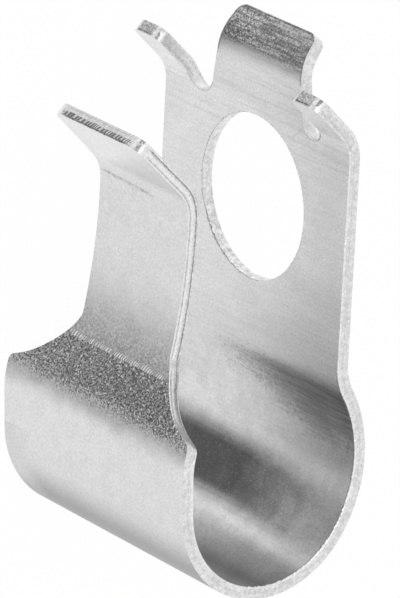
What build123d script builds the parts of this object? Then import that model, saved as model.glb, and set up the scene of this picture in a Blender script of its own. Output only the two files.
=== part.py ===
from build123d import *
import os
from math import cos, radians, sin

# Turbo hose clip: one strip of sheet metal, blanked flat and then folded. A plate with a hole
# hangs on an S-bend from a cradle that wraps the hose; the cradle's mouth narrows over two
# rounded shoulders into a leg that ends in a flare. The plate's top carries a tab that leans
# back and two ears that lean forward.
#
# Frame: the hose's axis is Z and the clip stands on one cut side edge, at Z = 0. +X points from
# the hose to the plate's back, +Y from the hose up the plate. All radii are those of the inside
# face, which is the one that touches the hose. Lengths are in mm and angles in degrees.

# The strip
sheet = 1.25
band_width = 29.1

# The cradle, from the plate's foot round the hose
s_bend_radius = 6.85
back_radius = 12.6
back_angle = 64.0
cradle_radius = 9.1
cradle_start_angle = 33.6
cradle_angle = 143.3

# The mouth: a straight throat, the bend back over the hose, a ramp and the crease
throat_length = 3.6
top_bend_radius = 9.2
top_bend_angle = 35.1
ramp_length = 2.0
crease_radius = 7.75
crease_angle = 20.6

# The shoulders, where the full width runs in to the leg
shoulder_corner = 0.9
shoulder_angle = 71.0
run_in_radius = 1.3
run_in_angle = 25.0
run_in_lead = 0.1

# The leg, gently bowed, and its flare
leg_width = 14.1
leg_bow_radius = 65.0
leg_bow_angle = 11.8
flare_bend_radius = 5.0
flare_bend_angle = 44.8
flare_length = 7.15
flare_tip_width = 13.4
flare_corner = 1.4

# The plate and its hole, with heights counted from the hose's axis
hole_diameter = 16.25
hole_height = 24.25
notch_root_height = 32.5
notch_width = 3.35

# The tab, flat above the notch roots and then bent back, and the ears, whose bend starts a
# little below the notch roots
tab_flat = 4.8
tab_bend_radius = 4.8
tab_bend_angle = 39.4
tab_end_length = 1.65
tab_end_width = 12.0
tab_corner = 1.2
ear_width = 4.1
ear_bend_height = 31.8
ear_bend_radius = 3.65
ear_bend_angle = 45.6
ear_length = 4.67
ear_corner = 1.1

# Places that follow from these sizes
middle = band_width / 2
notch_centre = middle - ear_width - notch_width / 2


def straight(piece, length):
    """A straight run of that length, on from the end of piece."""
    return Line(piece @ 1, piece @ 1 + (piece % 1) * length)


def bend(piece, radius, angle):
    """An arc on from the end of piece; a positive angle turns to the left."""
    return JernArc(piece @ 1, piece % 1, radius, angle)


def facing(point, travel):
    """The plane on the inside face at a point: x along the strip's travel, z out of the hose."""
    origin = Vector(point.X, point.Y, middle)
    return Plane(origin=origin, x_dir=travel, z_dir=Vector(-travel.Y, travel.X, 0))


def end_corners(part, piece):
    """The short edges across the sheet at the cut end of a straight piece."""
    ends = part.faces().filter_by(Axis((0, 0, 0), piece % 1))
    return ends.edges().filter_by(Axis.Z, reverse=True)


with BuildPart() as clip:
    # Plate, cradle and mouth: one section over the full width
    with BuildSketch():
        with BuildLine():
            cradle = CenterArc((0, 0), cradle_radius, -cradle_start_angle, -cradle_angle)
            throat = straight(cradle, throat_length)
            top_bend = bend(throat, top_bend_radius, -top_bend_angle)
            ramp = straight(top_bend, ramp_length)
            crease = bend(ramp, crease_radius, crease_angle)
            back = JernArc(cradle @ 0, cradle % 0 * -1, back_radius, back_angle)
            s_bend = bend(back, s_bend_radius, cradle_start_angle - back_angle)
            plate = Line(s_bend @ 1, ((s_bend @ 1).X, ear_bend_height))
            offset(amount=sheet, side=Side.LEFT)
        make_face()
    extrude(amount=band_width)

    # Shoulders: the flat outline beside the crease, cut square to the ramp and the crease. Its
    # corner turns in from the side edge, sweeps back and runs in to the leg's edge.
    step = (band_width - leg_width) / 2
    corner_step = shoulder_corner * (1 - cos(radians(shoulder_angle)))
    run_in_step = run_in_radius * (1 - cos(radians(run_in_angle)))
    sweep_share = cos(radians(run_in_angle)) - cos(radians(shoulder_angle))
    sweep_radius = (step - corner_step - run_in_step) / sweep_share
    shoulder_travel = (crease @ 1 - ramp @ 0).normalized()
    crease_lean = (crease % 1).get_angle(shoulder_travel)
    run_in_end = run_in_lead + sheet * sin(radians(crease_lean))
    with BuildSketch(facing(crease @ 1, shoulder_travel)):
        with BuildLine():
            edge = Line((sheet, leg_width / 2), (-run_in_end, leg_width / 2))
            run_in = bend(edge, run_in_radius, -run_in_angle)
            sweep = bend(run_in, sweep_radius, run_in_angle - shoulder_angle)
            corner = bend(sweep, shoulder_corner, shoulder_angle)
            Polyline(corner @ 1, (sheet, middle), edge @ 0)
        make_face()
        mirror(about=Plane.XZ)
    extrude(amount=3 * sheet, both=True, mode=Mode.SUBTRACT)

    # Leg, with the bend to its flare
    with BuildSketch(Plane.XY.offset((band_width - leg_width) / 2)):
        with BuildLine():
            bow = bend(crease, leg_bow_radius, leg_bow_angle)
            flare_bend = bend(bow, flare_bend_radius, flare_bend_angle)
            offset(amount=sheet, side=Side.LEFT)
        make_face()
    extrude(amount=leg_width)

    # Flare: a flat end, a little narrower at its rounded tip
    with BuildSketch(facing(flare_bend @ 1, flare_bend % 1)):
        with BuildLine():
            root, tip = leg_width / 2, flare_tip_width / 2
            Polyline((0, -root), (flare_length, -tip), (flare_length, tip), (0, root), close=True)
        make_face()
        fillet(vertices().sort_by(Axis.X)[-2:], flare_corner)
    extrude(amount=sheet)

    # Tab: flat, then bent back, as wide as the notches leave it
    with BuildSketch(Plane.XY.offset(middle - notch_centre)):
        with BuildLine():
            tab_root = straight(plate, notch_root_height - ear_bend_height + tab_flat)
            tab_bend = bend(tab_root, tab_bend_radius, -tab_bend_angle)
            tab_end = straight(tab_bend, tab_end_length)
            offset(amount=sheet, side=Side.RIGHT)
        make_face()
    extrude(amount=2 * notch_centre)

    # Ears: bent forward at both side edges
    with BuildSketch():
        with BuildLine():
            ear_bend = bend(plate, ear_bend_radius, ear_bend_angle)
            ear_end = straight(ear_bend, ear_length)
            offset(amount=sheet, side=Side.RIGHT)
        make_face()
    extrude(amount=middle - notch_centre)
    mirror(about=Plane.XY.offset(middle))

    # Notches: round at the root, straight on the ear's side and tapered on the tab's
    cut_height = clip.part.bounding_box().max.Y - notch_root_height
    taper_height = (tab_end @ 1).Y - notch_root_height - notch_width / 2
    taper = (notch_centre - notch_width / 2 - tab_end_width / 2) / taper_height
    tab_edge = tab_end_width / 2 - taper * (cut_height - taper_height - notch_width / 2)
    ear_edge = middle - ear_width
    notch_root = ((plate @ 1).X, notch_root_height, middle)
    with BuildSketch(Plane(notch_root, x_dir=(0, 0, 1), z_dir=(-1, 0, 0))):
        with BuildLine():
            CenterArc((notch_centre, notch_width / 2), notch_width / 2, 0, -180)
            Polyline((tab_edge, cut_height), (ear_edge, cut_height))
        make_hull()
        mirror(about=Plane.YZ)
    extrude(amount=ear_length + tab_flat, both=True, mode=Mode.SUBTRACT)

    # Corners at the tab's end and the ears' tips
    fillet(end_corners(clip, tab_end), tab_corner)
    fillet(end_corners(clip, ear_end), ear_corner)

    # Hole through the plate
    with Locations(Plane(((plate @ 1).X, hole_height, middle), z_dir=(-1, 0, 0))):
        Hole(hole_diameter / 2, depth=sheet)

clip.part.label = "turbo_hose_clip"
os.makedirs("parts", exist_ok=True)
export_step(clip.part, "parts/turbo_hose_clip.step")
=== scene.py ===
import random
from collections import namedtuple
from math import cos, pi, radians

import bmesh
import bpy
from mathutils import Matrix, Vector


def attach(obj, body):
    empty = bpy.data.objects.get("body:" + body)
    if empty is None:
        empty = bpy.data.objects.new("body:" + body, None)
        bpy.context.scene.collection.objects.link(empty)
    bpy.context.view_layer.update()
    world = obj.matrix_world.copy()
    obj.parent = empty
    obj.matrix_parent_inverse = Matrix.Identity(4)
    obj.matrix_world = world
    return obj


# Dresses the turbo hose clip: the photograph's camera, a white studio, plated spring steel, and
# thin pieces of real geometry for the lines and ribs that cutting and bending left on the metal.
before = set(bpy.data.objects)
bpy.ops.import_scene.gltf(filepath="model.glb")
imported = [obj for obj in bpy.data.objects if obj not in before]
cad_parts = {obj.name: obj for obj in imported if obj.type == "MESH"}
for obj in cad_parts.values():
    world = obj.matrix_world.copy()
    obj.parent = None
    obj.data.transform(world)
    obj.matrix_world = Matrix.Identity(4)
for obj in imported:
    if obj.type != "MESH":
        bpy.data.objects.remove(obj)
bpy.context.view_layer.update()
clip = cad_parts["turbo_hose_clip"]
scene = bpy.context.scene

# Frame: metres, the hose's axis is Z, +X from the hose to the plate, +Y up the plate. Places on
# the clip are written in millimetres and turned with MM. A height is a place along Y, and the
# hose's run goes from its far end, at Z = 0, to its near end, at the strip's width.
MM = 0.001
BAND_WIDTH = 29.1
MIDDLE = BAND_WIDTH / 2
WHITE = (1, 1, 1, 1)

# The camera: what it looks at, where it stands from there, its lens, and the nearest and the
# farthest that it sees
AIM = Vector((0.66, 15.28, 15.57)) * MM
VIEW_AZIMUTH = 150.11
VIEW_ELEVATION = 48.77
VIEW_ROLL = 116.33
VIEW_DISTANCE = 696 * MM
VIEW_LENS = 660.7
SENSOR_WIDTH = 36.0
NEAREST = 0.01
FARTHEST = 10.0

# The studio
SKY_STRENGTH = 0.86
LAMP_POWER = 6.0
LAMP_SIZE = 1.2
LAMP_PLACE = Vector((-0.9, 1.0, 1.5))
FLOOR_SIDE = 3.0
FLOOR_GREY = 0.95
FLOOR_ROUGHNESS = 0.9
FLOOR_GLOW = 0.97

# How sharp edges are rounded
WELD = 0.001 * MM
SHARP_ANGLE = radians(34)
EDGE_ROUND = 0.1 * MM
EDGE_SEGMENTS = 2
FLAT_FACE_WEIGHT = 80

# The steel's patterns: features to the millimetre along X, Y and Z, detail and roughness. All
# run from 0 to 1, round a half.
PATTERNS = {
    "streaks": ((1.6, 1.6, 0.05), 3.0, 0.5),
    "fine_streaks": ((3.4, 3.4, 0.18), 3.0, 0.65),
    "scratches": ((7.0, 7.0, 0.2), 2.0, 0.5),
    "combed": ((2.6, 2.6, 0.07), 2.0, 0.6),
    "pebbles": ((4.7, 4.7, 4.7), 2.0, 0.75),
    "dots": ((4.6, 4.6, 4.6), 0.0, 0.5),
    "grain": ((4.4, 4.4, 4.4), 2.0, 0.6),
    "speckle": ((4.2, 4.2, 4.2), 2.0, 0.6),
    "mottle": ((2.0, 2.0, 2.0), 3.0, 0.7),
    "cloud": ((0.5, 0.5, 0.5), 2.0, 0.5),
    "line_grain": ((5.0, 5.0, 5.0), 2.0, 0.5),
}

# The steel's levels are the share of the light that it gives back. Below, two borders are a
# smooth step, off at the first and on at the second, and two more numbers are the values that it
# runs from and to. Four borders of a stretch come in between the first two and go out between
# the last two.

# The brightest grey, and how much of it shows where the strip lies flat and on the plate's back
STEEL = 0.97
FLAT_LEVEL = 0.77
PLATE_BACK_LEVEL = 0.74

# How far the patterns move the borders: degrees inside, millimetres along the hose's run,
# millimetres of height, and degrees outside for each of those
INSIDE_SWAY = 4.0
RUN_SWAY = 6.0
HEIGHT_SWAY = 0.8
OUTSIDE_SWAY = 6.0

# The height of the fold, above which the inside face looks at the gap and no longer at the
# hose. Then the tab, by its X and height, and the ears, by their distance from the middle of
# the hose's run and their height.
FOLD_STEP = (10.8, 10.9)
TAB_SIDE_STEP = (6.85, 6.95)
TAB_FOOT_STEP = (33.0, 33.5)
EAR_SPAN_STEP = (9.9, 10.6)
EAR_FOOT_STEP = (32.0, 34.5)
EAR_LEVEL = 0.86

# Stretches round the hose, in degrees, where the metal is bent and where dark reflections are
# painted into its colour. Each has its levels at the far and the near end of the hose's run, and
# the places along the run between which it changes from one to the other.
MOUTH_BEND = (118.0, 127.0, 142.0, 161.0)
MOUTH_RUN = (4.0, 20.0)
MOUTH_LEVELS = (0.21, 0.18)
CRADLE_FLOOR = (-108.0, -92.0, -70.0, -55.0)
FLOOR_RUN = (9.0, 26.0)
FLOOR_LEVELS = (0.5, 0.42)
CRADLE_BACK = (-56.0, -40.0, -17.0, 3.5)
BACK_RUN = (11.0, 30.0)
BACK_LEVELS = (0.1, 0.46)
S_BEND = (-14.0, 8.0, 48.0, 68.0)
S_BEND_RUN = (9.0, 28.0)
S_BEND_LEVELS = (0.74, 0.48)

# The painted dark reflection on the cradle's back comes this many degrees lower at the near end
BACK_LOWERING = 9.0

# The underside has one level, its painted shade, and so has the low stretch of the rim at the far
# end
UNDERSIDE = (-168.0, -138.0, -115.0, -55.0)
UNDERSIDE_LEVEL = 0.34
FAR_RIM_RUN = (5.0, 1.0)
FAR_RIM_ANGLES = (-125.0, -155.0)
FAR_RIM_LEVEL = 0.7

# Painted light: the plate is a little brighter beside the hole, at the near end of the hose's run
BESIDE_HOLE = (17.0, 21.0, 30.0, 34.0)
BESIDE_HOLE_RUN = (17.0, 24.0)
BESIDE_HOLE_LEVEL = 0.9

# The streaked wedge on the S-bend, a dark reflection painted on the metal. Along WEDGE_RUN its
# lower border comes down from one angle to the other. Then come its upper border, where it starts
# along the run, how its lower border fades, how many degrees streaks and mottle move that, and how
# dark the painted reflection is. Towards the far end it is patchy, and its fringe has specks.
WEDGE_RUN = (10.0, 25.0)
WEDGE_LOW = (36.0, 17.0)
WEDGE_TOP = (53.0, 42.0)
WEDGE_START = (6.0, 15.0)
WEDGE_FADE = (-8.0, 5.0)
WEDGE_STREAKED = 6.0
WEDGE_MOTTLED = 22.0
WEDGE_PAINTED_DARK = 0.4
WEDGE_PATCHY_RUN = (24.0, 14.0)
WEDGE_PATCHES = (0.4, 0.58, 0.35, 1.0)
WEDGE_FRINGE = (0.0, 0.15, 0.55, 0.9)

# By height: painted shade on the leg's foot from the crease, and painted light on the leg and
# flare
LEG_FOOT_LEVEL = 0.27
LEG_LEVEL = 0.74
FLARE_LEVEL = 0.87
LEG_FOOT_HEIGHTS = (8.0, 20.0)
FLARE_HEIGHTS = (25.8, 30.0)

# The tab's bend, with painted shade from its lower border, and a little lighter again at its end
TAB_LEVEL = 0.94
TAB_BEND_LEVEL = 0.39
TAB_END_LEVEL = 0.52
TAB_BEND_HEIGHTS = (36.7, 38.9)
TAB_END_HEIGHTS = (39.3, 41.4)

# Pebbles show where the metal is stretched: in the mouth's bend, on the leg's foot, on the tab
# by height, less towards the near end, and faintly where the cradle was rubbed. Dots among them
# are painted glints, up to a level for the mouth and one for the tab. Lines are drawn across the
# tab's bend.
MOUTH_PEBBLES = (0.35, 1.0)
FOOT_PEBBLE_HEIGHTS = (16.0, 10.8, 0.0, 0.3)
TAB_PEBBLE_HEIGHTS = (37.9, 39.0)
TAB_PEBBLE_RUN = (9.0, 18.0, 0.9, 0.55)
RUBBED_SHARE = 0.17
PEBBLE_LIGHT = (0.37, 0.63, 0.38, 1.78)
PAINTED_GLINTS = (0.62, 0.72, 1.0, 2.7)
BRIGHTEST_PEBBLES = (0.64, 0.78)
DRAWN_LINES = (0.42, 0.6, 0.44, 0.0)

# Streaks on the inside face, stronger in the wedge, with dark specks and light scratches
STREAK_STEP = (0.36, 0.64, -1.0, 1.0)
STREAK_LIGHT = 0.025
WEDGE_STREAK_LIGHT = 0.16
SPECK_STEP = (0.38, 0.3)
SPECK_DARK = 0.3
SCRATCH_STEP = (0.56, 0.68)
SCRATCH_LIGHT = 0.4

# Cut faces, told by how far they look along the hose's run, and their rounded corners
CUT_LEAN = (0.1, 0.3)
CUT_MOTTLE = (0.3, 0.72, 0.84, 1.12)
CUT_LEVEL = 0.87
CORNER_LEAN = (0.96, 0.86)
CORNER_LEVEL = 0.86

# The ends of the ears and of the flare, told by how far they look up and by their height and X,
# and the dark nicks by their corners
END_LEAN = (0.45, 0.55)
END_HEIGHT = (32.4, 32.8)
END_SIDE = (5.6, 5.2)
EAR_END_SPECKLE = (0.3, 0.7, 0.6, 1.3)
EAR_END_LEVEL = 0.52
FLARE_END_LEVEL = 0.72
NICK_LEAN = (0.48, 0.58, 0.72, 0.82)
NICK_PATCHES = (0.4, 0.5)
NICK_LEVEL = 0.3

# The wall of the hole, by how little it looks along X, its heights and its distance from the
# middle of the hose's run. It is more chipped towards its foot.
WALL_LEAN = (0.5, 0.3)
WALL_HEIGHTS = (15.0, 15.8, 32.7, 33.0)
WALL_SPAN = (11.5, 11.0)
WALL_LEVEL = 0.88
CHIPPED_HEIGHTS = (25.0, 19.0)
CHIPPED_MOTTLE = (0.3, 0.72, 0.72, 1.2)

# Faint combed lines on the plate: along its top, and weaker above the S-bend
COMBED_STEP = (0.52, 0.64, 1.0, 0.91)
COMBED_TOP = (27.0, 32.0)
COMBED_FOOT = (5.5, 8.0, 12.0, 16.0)
COMBED_FOOT_SHARE = 0.45

# Grain, coarser on the leg's foot, and clouds, which are a little different in the cradle
FINE_GRAIN = (0.0, 1.0, 0.82, 1.18)
COARSE_GRAIN = (0.3, 0.7, 0.7, 1.3)
FOOT_COARSENESS = 2.5
CLOUD_DARKEST = 0.93
CLOUD_SPREAD = 0.14
CRADLE_CLOUD = (0.3, 0.7, 0.93, 1.05)
CRADLE_CLOUD_HEIGHTS = (9.0, 5.0)

# The surface: roughness, more on the pebbles, and how far pebbles rise, little on flat metal
ROUGHNESS = 0.26
PEBBLE_ROUGHNESS = 0.2
FLAT_RISE = 0.1
PEBBLE_RISE = 0.9
BUMP_STRENGTH = 0.5
BUMP_DISTANCE = 0.06 * MM

# The metals of the lines and ribs: the levels of their grooves and of their crests, and then
# their grain and their roughness
METALS = {
    "burr": (0.85, 1.0),
    "bright": (0.9, 1.0),
    "faint": (0.62, 0.8),
    "emboss": (0.48, 0.72),
    "grey": (0.45, 0.7),
    "leg_score": (0.3, 0.52),
    "score": (0.2, 0.42),
    "dark": (0.08, 0.3),
    "crease": (0.26, 1.0),
    "flare_end": (0.12, 1.0),
}
LINE_GRAIN_DARKEST = 0.75
LINE_GRAIN_SPREAD = 0.5
LINE_ROUGHNESS = 0.4

# The fine lines: their metal, how far they lie from the border of the two faces, how wide and
# how high they are, how uneven, and whether they lie on the broad face instead of the cut one
Line = namedtuple("Line", "metal depth width rise ragged on_broad", defaults=(0.03, 0.3, False))
LINES = {
    "hose_burr": Line("burr", 0.13, 0.19, rise=0.06, ragged=0.45),
    "cradle_burr": Line("burr", 0.13, 0.25, rise=0.09, ragged=0.35),
    "band_shear": Line("faint", 0.62, 0.08, ragged=0.8),
    "cradle_border": Line("score", 0.17, 0.1, on_broad=True),
    "leg_score": Line("leg_score", 0.31, 0.2),
    "leg_land": Line("bright", 0.69, 0.42),
    "leg_shear": Line("grey", 1.0, 0.1),
    "leg_rim": Line("bright", 1.15, 0.15),
    "ear_score": Line("faint", 0.34, 0.3, ragged=0.6),
    "ear_rim": Line("burr", 1.08, 0.16),
    "ear_border": Line("dark", 0.18, 0.15),
    "notch_border": Line("grey", 0.12, 0.08, on_broad=True),
    "tab_border": Line("dark", 0.16, 0.14, on_broad=True),
    "hole_rim": Line("grey", 0.06, 0.1, ragged=0.5),
    "hole_score": Line("score", 0.14, 0.16, ragged=0.6),
    "flare_line": Line("emboss", 0.0, 0.26, rise=0.04, ragged=0.35, on_broad=True),
    "flare_border": Line("dark", 0.15, 0.2, rise=0.08),
    "flare_shear": Line("grey", 1.02, 0.13, rise=0.05),
    "flare_burr": Line("burr", 0.14, 0.14),
}

# Across a line: places in shares of its width, and heights in shares of its rise. Along it:
# how its stations are spaced, the fewest that make a run, and over how many of them it comes to
# its full size, which is a sixth of the run within two limits.
LINE_PROFILE = ((-0.5, 0.0), (-0.25, 0.8), (0.0, 1.0), (0.25, 0.8), (0.5, 0.0))
STATION_SPACING = 0.15 * MM
FEWEST_STATIONS = 4
SHORTEST_LEAD = 2
LONGEST_LEAD = 8
LEAD_SHARE = 6

# All marks are closed shells, sunk a little in the metal
SINK = 0.01
SHELL_DEPTH = 0.06 * MM

# The ribbed marks that the tools left, along the crease of the leg and along the flare's end:
# their metal, width and rise, and the spacing and the lean of their ribs
Ribs = namedtuple("Ribs", "metal width rise spacing lean")
CREASE_RIBS = Ribs("crease", 0.6, 0.1, 0.32, 0.3)
FLARE_RIBS = Ribs("flare_end", 0.66, 0.04, 0.5, 0.5)

# Steps along each rib and rows of points across the mark, how high the bed between the ribs is
# as a share of the rise, how square the crown is, and the share of the mark's width at its ends
# and what it gains in each millimetre from there
RIB_STEPS = 12
RIB_ROWS = 7
RIB_BED = 0.35
RIB_CROWN_POWER = 4
RIB_END_SHARE = 0.25
RIB_TAPER = 2

# Each rib's gap, height, reach to one side and shade are drawn between two shares
RIB_GAPS = (0.5, 1.5)
RIB_HEIGHTS = (0.25, 1.0)
RIB_REACHES = (0.45, 1.0)
RIB_SHADES = (0.7, 1.0)

# Where the ribbed marks and the line across the flare's bend lie, and which way they face
CREASE_ENDS = ((-7.90, 10.83, 6.8), (-7.90, 10.83, 22.2))
CREASE_OUT = (-0.853, 0.523, 0.0)
FLARE_MARK_DEPTH = 0.46
FLARE_LINE_ENDS = ((-5.93, 27.06, 8.0), (-5.85, 26.68, 16.2))
FLARE_LINE_OUT = (-0.97, -0.24, 0.0)
FLARE_LINE_LIFT = 0.035
FLARE_LINE_STEPS = 40

# The way that the ends of the flare and of the ears look, how closely a face has to look that
# way, how squarely a cut face has to look along the hose's run to be an edge of its part, and
# how far up the roots of the notches look
FLARE_END = (-0.703, 0.711, 0.0)
EAR_END = (-0.715, 0.699, 0.0)
SAME_WAY = 0.97
SIDEWAYS = 0.9
EAR_SIDEWAYS = 0.8
SHOULDER_SIDEWAYS = 0.3
NOTCH_UPWARD = 0.2

# Places that part the stretches of the strip for the lines: an X is a SIDE, a height a HEIGHT,
# a place along the hose's run a RUN, and a distance from the middle of that run a SPAN
LEG_SIDE = -2.0
MOUTH_HEIGHT = 6.5
FLARE_BEND_HEIGHT = 27.0
FLARE_EDGE_HEIGHT = 27.7
BAND_SPAN = MIDDLE - 0.1
BAND_HEIGHT = 33.0
CRADLE_HEIGHT = 11.5
TURN_RUN = 20.0
TURN_SIDE = -4.0
EAR_HEIGHT = 32.0
EAR_SPAN = 10.2
TAB_SIDE = 6.5
TAB_HEIGHT = 36.5
TAB_SPAN = 8.0
NOTCH_SIDE = 6.0
NOTCH_HEIGHTS = (31.5, 34.5)
NOTCH_SPAN = 11.0
HOLE_SCORE_HEIGHT = 22.0
HOLE_SCORE_RUN = 15.0


class Graph:
    """A material's nodes, made with short calls. Lengths in it are millimetres."""

    def __init__(self, name):
        self.material = bpy.data.materials.new(name)
        self.material.use_nodes = True
        self.tree = self.material.node_tree
        self.shader = self.tree.nodes["Principled BSDF"]
        self.output = self.tree.nodes["Material Output"]

    def node(self, kind, **settings):
        """A node with some of its settings."""
        made = self.tree.nodes.new("ShaderNode" + kind)
        for key, value in settings.items():
            setattr(made, key, value)
        return made

    def put(self, socket, value):
        """Links an output, or sets a number."""
        if hasattr(value, "links"):
            self.tree.links.new(value, socket)
        else:
            socket.default_value = value

    def math(self, operation, *values):
        """A calculation with one to three numbers."""
        made = self.node("Math", operation=operation)
        for socket, value in zip(made.inputs, values):
            self.put(socket, value)
        return made.outputs[0]

    def times(self, *values):
        """The product of two or more numbers, which is also where all of some masks hold."""
        product = values[0]
        for value in values[1:]:
            product = self.math("MULTIPLY", product, value)
        return product

    def opposite(self, mask):
        """Where a mask doesn't hold."""
        return self.math("SUBTRACT", 1.0, mask)

    def either(self, one, other):
        """Where one of two masks holds."""
        return self.math("MAXIMUM", one, other)

    def step(self, value, low, high, start=0.0, end=1.0):
        """Runs smoothly from start to end while value runs from low to high."""
        made = self.node("MapRange", interpolation_type="SMOOTHSTEP")
        for key, number in (("Value", value), ("From Min", low), ("From Max", high),
                            ("To Min", start), ("To Max", end)):
            self.put(made.inputs[key], number)
        return made.outputs["Result"]

    def stretch(self, value, borders):
        """1 between the inner two of four borders, and 0 outside the outer two."""
        start, full, hold, end = borders
        return self.times(self.step(value, start, full), self.step(value, end, hold))

    def blend(self, share, low, high):
        """A mix of two numbers."""
        made = self.node("Mix", data_type="FLOAT")
        self.put(made.inputs["Factor"], share)
        self.put(made.inputs["A"], low)
        self.put(made.inputs["B"], high)
        return made.outputs["Result"]

    def place(self):
        """The place on the object: a vector, and its three parts."""
        where = self.node("VectorMath", operation="SCALE")
        self.put(where.inputs["Vector"], self.node("TexCoord").outputs["Object"])
        self.put(where.inputs["Scale"], 1 / MM)
        parts = self.node("SeparateXYZ")
        self.put(parts.inputs[0], where.outputs[0])
        return where.outputs[0], parts.outputs

    def facing(self, kind="Normal"):
        """The three parts of the surface's direction, as shaded or as built."""
        parts = self.node("SeparateXYZ")
        self.put(parts.inputs[0], self.node("NewGeometry").outputs[kind])
        return parts.outputs

    def angle(self, up, along):
        """The angle of a direction, in degrees."""
        return self.times(self.math("ARCTAN2", up, along), 180 / pi)

    def pattern(self, where, name):
        """One of the patterns."""
        features, detail, rough = PATTERNS[name]
        scaled = self.node("VectorMath", operation="MULTIPLY")
        self.put(scaled.inputs[0], where)
        self.put(scaled.inputs[1], features)
        made = self.node("TexNoise")
        self.put(made.inputs["Vector"], scaled.outputs[0])
        self.put(made.inputs["Scale"], 1.0)
        self.put(made.inputs["Detail"], detail)
        self.put(made.inputs["Roughness"], rough)
        return made.outputs["Fac"]


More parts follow.
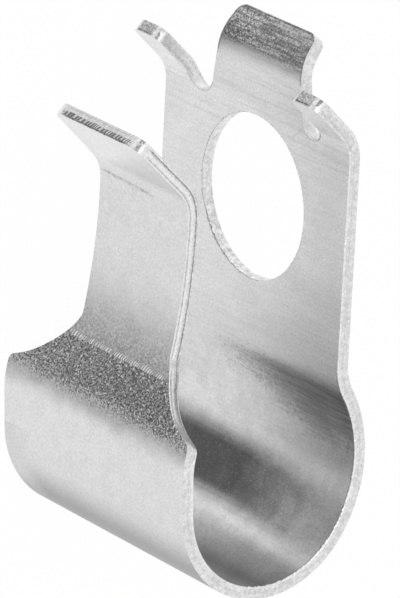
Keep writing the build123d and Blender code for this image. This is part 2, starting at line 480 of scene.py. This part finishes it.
class Steel(Graph):
    """Plated spring steel: bright where flat, pebbled where bent, with painted dark reflections.

    The masks run from 0 to 1. Each method that takes a level gives it back with more detail.
    """

    def __init__(self):
        super().__init__("steel")
        self.where, (self.x, self.y, self.z) = self.place()
        self.nx, self.ny, self.nz = self.facing()
        self.pebbles = self.pattern(self.where, "pebbles")
        self.dots = self.pattern(self.where, "dots")
        self.mottle = self.pattern(self.where, "mottle")
        self.cloud = self.pattern(self.where, "cloud")
        self.fine_streaks = self.pattern(self.where, "fine_streaks")
        self.streak = self.step(self.fine_streaks, *STREAK_STEP)
        self.mottled = self.step(self.mottle, *CUT_MOTTLE)
        self.measure()
        self.find_faces()
        self.find_bends()
        self.wedge = self.find_wedge()
        self.stretched = self.find_stretched()
        level = self.blend(self.inside, self.outside_level(), self.inside_level())
        level = self.pebbled(level)
        level = self.streaked(level)
        level = self.with_cut_faces(level)
        level = self.with_hole_wall(level)
        level = self.grained(level)
        self.fill_shader(level)

    def measure(self):
        """Angles round the hose and heights, with a sway so that borders are uneven."""
        wander = self.math("MULTIPLY_ADD", self.cloud, HEIGHT_SWAY, -HEIGHT_SWAY / 2)
        jitter = self.math("SUBTRACT", self.pattern(self.where, "streaks"), 0.5)
        self.around = self.angle(self.y, self.x)
        self.inner_angle = self.math("MULTIPLY_ADD", jitter, INSIDE_SWAY, self.around)
        self.outer_angle = self.math("MULTIPLY_ADD", wander, OUTSIDE_SWAY, self.around)
        self.height = self.math("ADD", self.y, wander)
        self.from_middle = self.math("ABSOLUTE", self.math("SUBTRACT", self.z, MIDDLE))

    def find_faces(self):
        """Which face of the strip a place is on.

        The inside face looks at the hose, and above the fold at the gap between plate and leg.
        """
        self.above = self.step(self.y, *FOLD_STEP)
        self.on_plate = self.math("GREATER_THAN", self.x, 0.0)
        self.on_leg = self.times(self.above, self.opposite(self.on_plate))
        toward = self.math("MULTIPLY_ADD", self.x, self.nx, self.times(self.y, self.ny))
        across = self.times(self.nx, self.math("MULTIPLY_ADD", self.on_plate, 2.0, -1.0))
        self.inside = self.math("LESS_THAN", self.blend(self.above, toward, across), 0.0)
        self.outside = self.opposite(self.inside)
        self.on_tab = self.times(self.step(self.x, *TAB_SIDE_STEP),
                                 self.step(self.y, *TAB_FOOT_STEP))

    def find_bends(self):
        """The painted dark reflections round the hose, the tab's bend and the leg's foot."""
        lowering = self.step(self.z, *BACK_RUN, 0.0, BACK_LOWERING)
        self.floor = self.stretch(self.inner_angle, CRADLE_FLOOR)
        self.back = self.stretch(self.math("ADD", self.inner_angle, lowering), CRADLE_BACK)
        self.s_bend = self.stretch(self.inner_angle, S_BEND)
        self.mouth = self.stretch(self.outer_angle, MOUTH_BEND)
        self.tab_bend = self.times(self.step(self.height, *TAB_PEBBLE_HEIGHTS), self.on_tab,
                                   self.inside)
        self.foot = self.times(self.step(self.height, *FOOT_PEBBLE_HEIGHTS), self.on_leg)

    def find_wedge(self):
        """The ragged wedge on the S-bend, where a dark reflection is painted."""
        ragged = self.math("MULTIPLY_ADD", self.streak, WEDGE_STREAKED, self.inner_angle)
        patchy = self.math("SUBTRACT", self.mottle, 0.5)
        ragged = self.math("MULTIPLY_ADD", patchy, WEDGE_MOTTLED, ragged)
        border = self.step(self.z, *WEDGE_RUN, *WEDGE_LOW)
        low = self.step(self.math("SUBTRACT", ragged, border), *WEDGE_FADE)
        top = self.step(self.inner_angle, *WEDGE_TOP)
        start = self.step(self.z, *WEDGE_START)
        patches = self.step(self.mottle, *WEDGE_PATCHES)
        return self.times(low, top, start,
                          self.blend(self.step(self.z, *WEDGE_PATCHY_RUN), 1.0, patches))

    def find_stretched(self):
        """How far the metal is stretched: mouth, leg's foot, tab, and faintly the cradle."""
        mouth = self.times(self.step(self.mouth, *MOUTH_PEBBLES), self.opposite(self.above))
        outer = self.times(self.either(mouth, self.foot), self.outside)
        tab = self.times(self.tab_bend, self.step(self.z, *TAB_PEBBLE_RUN))
        rubbed = self.times(self.either(self.back, self.floor), self.inside, RUBBED_SHARE)
        return self.either(self.either(outer, tab), rubbed)

    def inside_level(self):
        """The inside face: the bends, the brighter place beside the hole, wedge, tab and ears."""
        run = self.math("MULTIPLY_ADD", self.cloud, RUN_SWAY,
                        self.math("SUBTRACT", self.z, RUN_SWAY / 2))
        level = FLAT_LEVEL
        # The bends round the hose, with their painted dark reflections
        for bend, borders, levels in ((self.floor, FLOOR_RUN, FLOOR_LEVELS),
                                      (self.back, BACK_RUN, BACK_LEVELS),
                                      (self.s_bend, S_BEND_RUN, S_BEND_LEVELS)):
            level = self.blend(bend, level, self.step(run, *borders, *levels))
        # Painted light beside the hole
        beside = self.times(self.stretch(self.y, BESIDE_HOLE), self.step(self.z, *BESIDE_HOLE_RUN))
        level = self.blend(beside, level, BESIDE_HOLE_LEVEL)
        # The wedge's painted dark reflection
        level = self.times(level, self.math("MULTIPLY_ADD", self.wedge, -WEDGE_PAINTED_DARK, 1.0))
        # The tab's bend with its painted shade, lighter again at its end
        tab = self.step(self.height, *TAB_BEND_HEIGHTS, TAB_LEVEL, TAB_BEND_LEVEL)
        tab = self.blend(self.step(self.height, *TAB_END_HEIGHTS), tab, TAB_END_LEVEL)
        level = self.times(level, self.blend(self.on_tab, 1.0, tab))
        ear = self.times(self.step(self.from_middle, *EAR_SPAN_STEP),
                         self.step(self.y, *EAR_FOOT_STEP))
        return self.blend(ear, level, EAR_LEVEL)

    def outside_level(self):
        """The outside face: the mouth's bend, the underside, the leg, its flare and the plate."""
        # The mouth's bend, with its painted dark reflection
        level = self.blend(self.mouth, FLAT_LEVEL, self.step(self.z, *MOUTH_RUN, *MOUTH_LEVELS))
        # The underside's painted shade
        level = self.blend(self.stretch(self.outer_angle, UNDERSIDE), level, UNDERSIDE_LEVEL)
        # The leg and its flare, painted darker or lighter by height
        leg = self.step(self.height, *LEG_FOOT_HEIGHTS, LEG_FOOT_LEVEL, LEG_LEVEL)
        leg = self.blend(self.step(self.height, *FLARE_HEIGHTS), leg, FLARE_LEVEL)
        level = self.blend(self.above, level, self.blend(self.on_plate, leg, PLATE_BACK_LEVEL))
        rim = self.times(self.step(self.z, *FAR_RIM_RUN), self.step(self.around, *FAR_RIM_ANGLES))
        return self.blend(rim, level, FAR_RIM_LEVEL)

    def pebbled(self, level):
        """Pebbles where the metal is stretched, and lines drawn across the tab's bend."""
        # Pebble tone, with painted glints on some of the dots
        light = self.times(self.step(self.pebbles, *PEBBLE_LIGHT), self.step(self.dots, *PAINTED_GLINTS))
        brightest = self.blend(self.on_tab, *BRIGHTEST_PEBBLES)
        speckled = self.math("MINIMUM", self.times(level, light), brightest)
        level = self.blend(self.stretched, level, speckled)
        drawn = self.times(self.tab_bend, self.step(self.fine_streaks, *DRAWN_LINES))
        return self.times(level, self.opposite(drawn))

    def streaked(self, level):
        """Streaks on the inside, and scratches and specks in the wedge."""
        dots = self.step(self.dots, *SPECK_STEP)
        specks = self.times(dots, self.stretch(self.wedge, WEDGE_FRINGE))
        scratches = self.step(self.pattern(self.where, "scratches"), *SCRATCH_STEP)
        share = self.math("MULTIPLY_ADD", self.wedge, WEDGE_STREAK_LIGHT, STREAK_LIGHT)
        light = self.math("MULTIPLY_ADD", self.streak, share, 1.0)
        light = self.math("MULTIPLY_ADD", self.times(scratches, self.wedge), SCRATCH_LIGHT, light)
        light = self.math("MULTIPLY_ADD", specks, -SPECK_DARK, light)
        return self.times(level, self.blend(self.inside, 1.0, light))

    def with_cut_faces(self, level):
        """Mottled cut faces with bright corners, and the darker ends with their nicks."""
        lean = self.math("ABSOLUTE", self.nz)
        cut = self.step(self.math("ABSOLUTE", self.facing("True Normal")[2]), *CUT_LEAN)
        tips = self.times(self.step(self.y, *END_HEIGHT), self.step(self.x, *END_SIDE))
        end = self.times(self.step(self.ny, *END_LEAN), tips)
        speckle = self.step(self.pattern(self.where, "speckle"), *EAR_END_SPECKLE)
        speckle = self.blend(self.on_plate, self.mottled, speckle)
        end_level = self.blend(self.on_plate, FLARE_END_LEVEL, EAR_END_LEVEL)
        level = self.blend(end, level, self.times(speckle, end_level))
        level = self.blend(cut, level, self.times(self.mottled, CUT_LEVEL))
        corner = self.times(cut, self.step(lean, *CORNER_LEAN))
        level = self.blend(corner, level, self.times(self.mottled, CORNER_LEVEL))
        patches = self.step(self.mottle, *NICK_PATCHES)
        nick = self.times(self.stretch(lean, NICK_LEAN), patches, tips)
        return self.blend(nick, level, NICK_LEVEL)

    def with_hole_wall(self, level):
        """The chipped wall of the plate's hole."""
        lean = self.step(self.math("ABSOLUTE", self.nx), *WALL_LEAN)
        span = self.step(self.from_middle, *WALL_SPAN)
        wall = self.times(lean, self.on_plate, self.stretch(self.y, WALL_HEIGHTS), span)
        chipped = self.blend(self.step(self.y, *CHIPPED_HEIGHTS), self.mottled,
                             self.step(self.mottle, *CHIPPED_MOTTLE))
        return self.blend(wall, level, self.times(chipped, WALL_LEVEL))

    def grained(self, level):
        """Fine grain, faint clouds and faint combed lines."""
        low_lines = self.times(self.stretch(self.y, COMBED_FOOT), COMBED_FOOT_SHARE)
        lines = self.times(self.either(self.step(self.y, *COMBED_TOP), low_lines), self.on_plate)
        combed = self.step(self.pattern(self.where, "combed"), *COMBED_STEP)
        grain = self.pattern(self.where, "grain")
        coarse = self.times(self.foot, self.outside, FOOT_COARSENESS)
        grain = self.blend(coarse, self.step(grain, *FINE_GRAIN), self.step(grain, *COARSE_GRAIN))
        cloud = self.math("MULTIPLY_ADD", self.cloud, CLOUD_SPREAD, CLOUD_DARKEST)
        in_cradle = self.times(self.inside, self.step(self.y, *CRADLE_CLOUD_HEIGHTS))
        cloud = self.blend(in_cradle, cloud, self.step(self.cloud, *CRADLE_CLOUD))
        return self.times(level, self.times(grain, cloud), self.blend(lines, 1.0, combed), STEEL)

    def fill_shader(self, level):
        """Gives the shader the level, the roughness and the bumps of the pebbles."""
        inputs = self.shader.inputs
        self.put(inputs["Base Color"], level)
        inputs["Metallic"].default_value = 1.0
        rough = self.math("MULTIPLY_ADD", self.pebbles, PEBBLE_ROUGHNESS, ROUGHNESS)
        self.put(inputs["Roughness"], rough)
        rise = self.math("MULTIPLY_ADD", self.stretched, PEBBLE_RISE, FLAT_RISE)
        bump = self.node("Bump")
        bump.inputs["Strength"].default_value = BUMP_STRENGTH
        bump.inputs["Distance"].default_value = BUMP_DISTANCE
        self.put(bump.inputs["Height"], self.times(self.pebbles, rise))
        self.put(inputs["Normal"], bump.outputs[0])


def line_metal(name):
    """The metal of a line or a ribbed mark, made when it is first asked for."""
    made = bpy.data.materials.get(name + "_steel")
    if made:
        return made
    groove, crest = METALS[name]
    graph = Graph(name + "_steel")
    where = graph.place()[0]
    shade = graph.node("Attribute", attribute_name="shade").outputs["Fac"]
    grain = graph.math("MULTIPLY_ADD", graph.pattern(where, "line_grain"), LINE_GRAIN_SPREAD,
                       LINE_GRAIN_DARKEST)
    level = graph.times(graph.blend(shade, groove, crest), grain)
    graph.put(graph.shader.inputs["Base Color"], level)
    graph.shader.inputs["Metallic"].default_value = 1.0
    graph.shader.inputs["Roughness"].default_value = LINE_ROUGHNESS
    return graph.material


def floor_white():
    """White to the eye and in the metal, with a faint shadow left in it."""
    graph = Graph("floor_white")
    graph.shader.inputs["Base Color"].default_value = (FLOOR_GREY, FLOOR_GREY, FLOOR_GREY, 1)
    graph.shader.inputs["Roughness"].default_value = FLOOR_ROUGHNESS
    path = graph.node("LightPath").outputs
    seen = graph.either(path["Is Camera Ray"], path["Is Glossy Ray"])
    seen = graph.either(seen, path["Is Transmission Ray"])
    mix = graph.node("MixShader")
    graph.put(mix.inputs["Fac"], graph.times(seen, FLOOR_GLOW))
    graph.put(mix.inputs[1], graph.shader.outputs[0])
    graph.put(mix.inputs[2], graph.node("Emission").outputs[0])
    graph.put(graph.output.inputs["Surface"], mix.outputs[0])
    return graph.material


def add_camera():
    """The photograph's camera."""
    data = bpy.data.cameras.new("camera")
    data.sensor_fit = "HORIZONTAL"
    data.sensor_width = SENSOR_WIDTH
    data.lens = VIEW_LENS
    data.clip_start = NEAREST
    data.clip_end = FARTHEST
    camera = bpy.data.objects.new("camera", data)
    turn = Matrix.Rotation(radians(VIEW_AZIMUTH + 90), 4, "Z")
    lean = Matrix.Rotation(radians(90 - VIEW_ELEVATION), 4, "X")
    roll = Matrix.Rotation(radians(VIEW_ROLL), 4, "Z")
    back = Matrix.Translation((0, 0, VIEW_DISTANCE))
    camera.matrix_world = Matrix.Translation(AIM) @ turn @ lean @ roll @ back
    scene.collection.objects.link(camera)
    scene.camera = camera


def add_sky():
    """A plain white surround."""
    world = bpy.data.worlds.new("surround")
    world.use_nodes = True
    light = world.node_tree.nodes["Background"]
    light.inputs["Color"].default_value = WHITE
    light.inputs["Strength"].default_value = SKY_STRENGTH
    scene.world = world


def add_lamp():
    """One large soft lamp over the clip."""
    data = bpy.data.lights.new("soft_lamp", "AREA")
    data.energy = LAMP_POWER
    data.size = LAMP_SIZE
    lamp = bpy.data.objects.new("soft_lamp", data)
    lamp.location = LAMP_PLACE
    lamp.rotation_euler = (LAMP_PLACE - AIM).to_track_quat("Z", "Y").to_euler()
    scene.collection.objects.link(lamp)


def add_floor():
    """A plain white floor, which also makes the background."""
    mesh = bpy.data.meshes.new("floor")
    side = FLOOR_SIDE
    corners = [(-side, -side, 0), (side, -side, 0), (side, side, 0), (-side, side, 0)]
    mesh.from_pydata(corners, [], [(0, 1, 2, 3)])
    mesh.materials.append(floor_white())
    floor = bpy.data.objects.new("floor", mesh)
    scene.collection.objects.link(floor)


def soften(obj):
    """Rounds a node's sharp edges a little, as tumbling does."""
    weld = obj.modifiers.new("weld", "WELD")
    weld.merge_threshold = WELD
    bevel = obj.modifiers.new("soft_edges", "BEVEL")
    bevel.width = EDGE_ROUND
    bevel.segments = EDGE_SEGMENTS
    bevel.limit_method = "ANGLE"
    bevel.angle_limit = SHARP_ANGLE
    normals = obj.modifiers.new("face_normals", "WEIGHTED_NORMAL")
    normals.weight = FLAT_FACE_WEIGHT


def smooth_surfaces(work, sharp):
    """The faces in groups that sharp edges part, the group with the largest area first."""
    seen, surfaces = set(), []
    for first in work.faces:
        if first in seen:
            continue
        seen.add(first)
        surface, queue = [], [first]
        while queue:
            face = queue.pop()
            surface.append(face)
            for edge in face.edges:
                for other in edge.link_faces:
                    if edge not in sharp and other not in seen:
                        seen.add(other)
                        queue.append(other)
        surfaces.append(surface)
    return sorted(surfaces, key=lambda surface: -sum(face.calc_area() for face in surface))


def border_loops(work, sharp, surface):
    """The loops of sharp edges round a surface, the longest first."""
    edges = [e for e in work.edges if e in sharp and sum(f in surface for f in e.link_faces) == 1]
    beside = {}
    for edge in edges:
        for vert in edge.verts:
            beside.setdefault(vert, []).append(edge)
    used, loops = set(), []
    for first in edges:
        loop, edge, vert = [], first, first.verts[0]
        while edge is not None and edge not in used:
            used.add(edge)
            broad = sum((f.normal for f in vert.link_faces if f in surface), Vector())
            cut = sum((f.normal for f in vert.link_faces if f not in surface), Vector())
            loop.append((vert.co.copy(), broad.normalized(), cut.normalized()))
            vert = edge.other_vert(vert)
            edge = next((e for e in beside[vert] if e not in used), None)
        if loop:
            loops.append(loop)
    return sorted(loops, key=len, reverse=True)


def strip_borders():
    """The borders of the strip's two broad faces, the inside one's first.

    Each is a list of loops, the longest first, and a loop is a list of stations: the place, the
    way out of the broad face and the way out of the cut face beside it.
    """
    work = bmesh.new()
    work.from_mesh(clip.data)
    bmesh.ops.remove_doubles(work, verts=work.verts, dist=WELD)
    sharp = {e for e in work.edges if e.calc_face_angle(0) > SHARP_ANGLE}
    surfaces = smooth_surfaces(work, sharp)
    broad = [border_loops(work, sharp, set(surface)) for surface in surfaces[:2]]
    work.free()
    return sorted(broad, key=lambda loops: min(place.xy.length for place, _, _ in loops[0]))


def evenly_spaced(loop):
    """A closed loop's stations, spaced evenly."""
    stations = []
    for (a, broad_a, cut_a), (b, broad_b, cut_b) in zip(loop, loop[1:] + loop[:1]):
        count = max(1, round((b - a).length / STATION_SPACING))
        for i in range(count):
            share = i / count
            stations.append((a.lerp(b, share), broad_a.lerp(broad_b, share).normalized(),
                             cut_a.lerp(cut_b, share).normalized()))
    return stations


def trace(loop, test):
    """The runs of a loop where the test of place, broad way and cut way holds."""
    stations = evenly_spaced(loop)
    held = [test(*station) for station in stations]
    if all(held):
        return [stations + stations[:1]]
    turn = held.index(False)
    stations, held = stations[turn:] + stations[:turn], held[turn:] + held[:turn]
    runs, run = [], []
    for station, holds in zip(stations + [None], held + [False]):
        if holds:
            run.append(station)
            continue
        if len(run) >= FEWEST_STATIONS:
            runs.append(run)
        run = []
    return runs


def everywhere(place, broad, cut):
    """The whole loop."""
    return True


def on_band_edge(place, broad, cut):
    """The cut side edges of the plate, the cradle and the mouth."""
    _, y, z = place / MM
    return abs(cut.z) > SIDEWAYS and abs(z - MIDDLE) > BAND_SPAN and y < BAND_HEIGHT


def on_cradle_edge(place, broad, cut):
    """The cut side edges of the S-bend and the cradle."""
    return on_band_edge(place, broad, cut) and place.y < CRADLE_HEIGHT * MM


def on_cradle_turn(place, broad, cut):
    """The near cut edge of the cradle's floor and back."""
    x, y, z = place / MM
    return z > TURN_RUN and x > TURN_SIDE and y < 0


def on_leg_edge(place, broad, cut):
    """The long cut edges of the leg and its flare, and the sweep of its shoulders."""
    x, y, _ = place / MM
    sideways = SHOULDER_SIDEWAYS if y < FLARE_BEND_HEIGHT else SIDEWAYS
    return x < LEG_SIDE and y > MOUTH_HEIGHT and abs(cut.z) > sideways


def on_flare_edge(place, broad, cut):
    """The flare's long cut edges."""
    return place.x < 0 and place.y > FLARE_EDGE_HEIGHT * MM and abs(cut.z) > SIDEWAYS


def on_flare_end(place, broad, cut):
    """The end of the flare."""
    return place.x < 0 and cut.dot(Vector(FLARE_END)) > SAME_WAY


def on_ear(place):
    """The bent part of the two ears."""
    x, y, z = place / MM
    return x > 0 and y > EAR_HEIGHT and abs(z - MIDDLE) > EAR_SPAN


def on_ear_edge(place, broad, cut):
    """The long cut edges of the two ears."""
    return on_ear(place) and abs(cut.z) > EAR_SIDEWAYS


def on_ear_end(place, broad, cut):
    """The ends of the two ears."""
    return on_ear(place) and cut.dot(Vector(EAR_END)) > SAME_WAY


def on_notch(place, broad, cut):
    """The round roots of the two notches."""
    x, y, z = place / MM
    low, high = NOTCH_HEIGHTS
    if abs(z - MIDDLE) > NOTCH_SPAN:
        return False
    return x > NOTCH_SIDE and low < y < high and cut.y > NOTCH_UPWARD


def on_tab_border(place, broad, cut):
    """The tab's borders, from the start of its bend."""
    x, y, z = place / MM
    return x > TAB_SIDE and y > TAB_HEIGHT and abs(z - MIDDLE) < TAB_SPAN


def on_hole_low(place, broad, cut):
    """The low stretch of the hole, towards the far end of the hose's run."""
    _, y, z = place / MM
    return y < HOLE_SCORE_HEIGHT and z < HOLE_SCORE_RUN


def shell_faces(total, rows):
    """The faces of a closed shell whose top is a grid of points, and its bottom one more."""
    count = total // rows - 1
    faces = []
    for i in range(count):
        for j in range(rows - 1):
            a = i * rows + j
            quad = (a, a + 1, a + rows + 1, a + rows)
            faces.append(quad)
            faces.append(tuple(total + k for k in reversed(quad)))
    rim = [i * rows for i in range(count + 1)]
    rim += [count * rows + j for j in range(1, rows)]
    rim += [i * rows + rows - 1 for i in range(count - 1, -1, -1)]
    rim += [j for j in range(rows - 2, 0, -1)]
    for a, b in zip(rim, rim[1:] + rim[:1]):
        faces.append((a, b, total + b, total + a))
    return faces


def add_piece(name, grids, rows, material):
    """One piece of closed thin shells, each a grid of places, ways out and shades."""
    points, faces, shades = [], [], []
    for grid in grids:
        first = len(points)
        points += [place for place, _, _ in grid]
        points += [place - out * SHELL_DEPTH for place, out, _ in grid]
        shades += 2 * [shade for _, _, shade in grid]
        faces += [[first + k for k in face] for face in shell_faces(len(grid), rows)]
    mesh = bpy.data.meshes.new(name)
    mesh.from_pydata(points, [], faces)
    work = bmesh.new()
    work.from_mesh(mesh)
    bmesh.ops.recalc_face_normals(work, faces=work.faces)
    work.to_mesh(mesh)
    work.free()
    mesh.attributes.new("shade", "FLOAT", "POINT").data.foreach_set("value", shades)
    mesh.materials.append(material)
    piece = bpy.data.objects.new(name, mesh)
    scene.collection.objects.link(piece)
    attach(piece, "root")


def add_lines(name, runs):
    """The thin uneven line of that name along each run, tapered at its ends."""
    line = LINES[name]
    least, most = 1 - line.ragged, 1 + line.ragged
    draw = random.Random(name)
    grids = []
    for run in runs:
        grid = []
        lead = min(LONGEST_LEAD, max(SHORTEST_LEAD, len(run) // LEAD_SHARE))
        for i, (place, broad, cut) in enumerate(run):
            inward, out = (-cut, broad) if line.on_broad else (-broad, cut)
            taper = min(1.0, (i + 1) / lead, (len(run) - i) / lead)
            width = line.width * taper * draw.uniform(least, most)
            rise = line.rise * taper * draw.uniform(least, most)
            depth = line.depth + line.width * line.ragged * draw.uniform(-0.5, 0.5)
            shade = draw.random()
            for side, share in LINE_PROFILE:
                spot = place + inward * (depth + side * width) * MM
                grid.append((spot + out * (rise * share - SINK) * MM, out, shade))
        grids.append(grid)
    add_piece(name, grids, len(LINE_PROFILE), line_metal(line.metal))


def add_ribs(name, ends, out, ribs):
    """A shallow strip of leaning uneven ribs from one end to the other, sunk in the metal."""
    start, end = ends
    along = end - start
    length = along.length / MM
    across = out.cross(along).normalized()
    draw = random.Random(name)
    marks = [0.0]
    while marks[-1] < length:
        marks.append(marks[-1] + ribs.spacing * draw.uniform(*RIB_GAPS))
    marks[-1] = length
    heights = [draw.uniform(*RIB_HEIGHTS) for _ in marks]
    reaches = [draw.uniform(*RIB_REACHES) for _ in marks]
    grid = []
    for i in range((len(marks) - 1) * RIB_STEPS + 1):
        rib = min(i // RIB_STEPS, len(marks) - 2)
        share = (i - rib * RIB_STEPS) / RIB_STEPS
        reach = reaches[rib] + (reaches[rib + 1] - reaches[rib]) * share
        run = marks[rib] + (marks[rib + 1] - marks[rib]) * share
        wave = (0.5 - 0.5 * cos(2 * pi * share)) * heights[rib]
        to_end = min(run, length - run)
        width = ribs.width * min(1.0, RIB_END_SHARE + RIB_TAPER * to_end)
        for j in range(RIB_ROWS):
            side = j / (RIB_ROWS - 1) - 0.5
            crown = 1 - (2 * side) ** RIB_CROWN_POWER
            height = ribs.rise * (RIB_BED + (1 - RIB_BED) * wave) * crown - SINK
            forward = run + ribs.lean * side * width
            aside = side * width * (reach if side > 0 else 1)
            spot = start + along.normalized() * forward * MM + across * aside * MM
            grid.append((spot + out * height * MM, out, wave * draw.uniform(*RIB_SHADES)))
    add_piece(name, [grid], RIB_ROWS, line_metal(ribs.metal))


def add_band_lines(contour):
    """The lines along the cut side edges of the plate and the cradle."""
    band = trace(contour, on_band_edge)
    add_lines("hose_burr", band)
    add_lines("cradle_burr", trace(contour, on_cradle_turn))
    add_lines("band_shear", band)
    add_lines("cradle_border", trace(contour, on_cradle_edge))


def add_leg_lines(contour):
    """The lines along the leg's cut edges."""
    leg = trace(contour, on_leg_edge)
    for name in ("leg_score", "leg_land", "leg_shear", "leg_rim"):
        add_lines(name, leg)


def add_top_lines(contour, hole):
    """The lines on the ears, the notches, the tab and the hole."""
    ears = trace(contour, on_ear_edge)
    add_lines("ear_score", ears)
    add_lines("ear_rim", ears)
    add_lines("ear_border", trace(contour, on_ear_end))
    add_lines("notch_border", trace(contour, on_notch))
    add_lines("tab_border", trace(contour, on_tab_border))
    add_lines("hole_rim", trace(hole, everywhere))
    add_lines("hole_score", trace(hole, on_hole_low))


def add_crease_mark():
    """The ribbed mark along the crease of the leg."""
    ends = [Vector(place) * MM for place in CREASE_ENDS]
    add_ribs("crease_mark", ends, Vector(CREASE_OUT), CREASE_RIBS)


def add_flare_line():
    """The fine line across the flare's bend."""
    out = Vector(FLARE_LINE_OUT).normalized()
    start, end = ((Vector(place) + out * FLARE_LINE_LIFT) * MM for place in FLARE_LINE_ENDS)
    across = out.cross(end - start).normalized()
    shares = [i / FLARE_LINE_STEPS for i in range(FLARE_LINE_STEPS + 1)]
    add_lines("flare_line", [[(start.lerp(end, share), out, across) for share in shares]])


def add_flare_marks(contour, outer_contour):
    """The ribbed mark on the flare's end, the lines beside it, and the burr on its edges."""
    tip = trace(outer_contour, on_flare_end)[0]
    ends = sorted((tip[1], tip[-2]), key=lambda station: station[0].z)
    ends = [place - broad * FLARE_MARK_DEPTH * MM for place, broad, _ in ends]
    add_ribs("flare_end_mark", ends, Vector(FLARE_END), FLARE_RIBS)
    add_lines("flare_border", [tip])
    add_lines("flare_shear", [tip])
    add_lines("flare_burr", trace(contour, on_flare_edge))


def add_marks():
    """The fine lines and ribs that cutting and bending left on the clip."""
    inside, outside = strip_borders()
    contour, hole = inside[:2]
    add_band_lines(contour)
    add_leg_lines(contour)
    add_top_lines(contour, hole)
    add_crease_mark()
    add_flare_line()
    add_flare_marks(contour, outside[0])


add_camera()
add_sky()
add_lamp()
add_floor()
clip.data.materials.clear()
clip.data.materials.append(Steel().material)
soften(clip)
add_marks()
scene.view_settings.view_transform = "Standard"
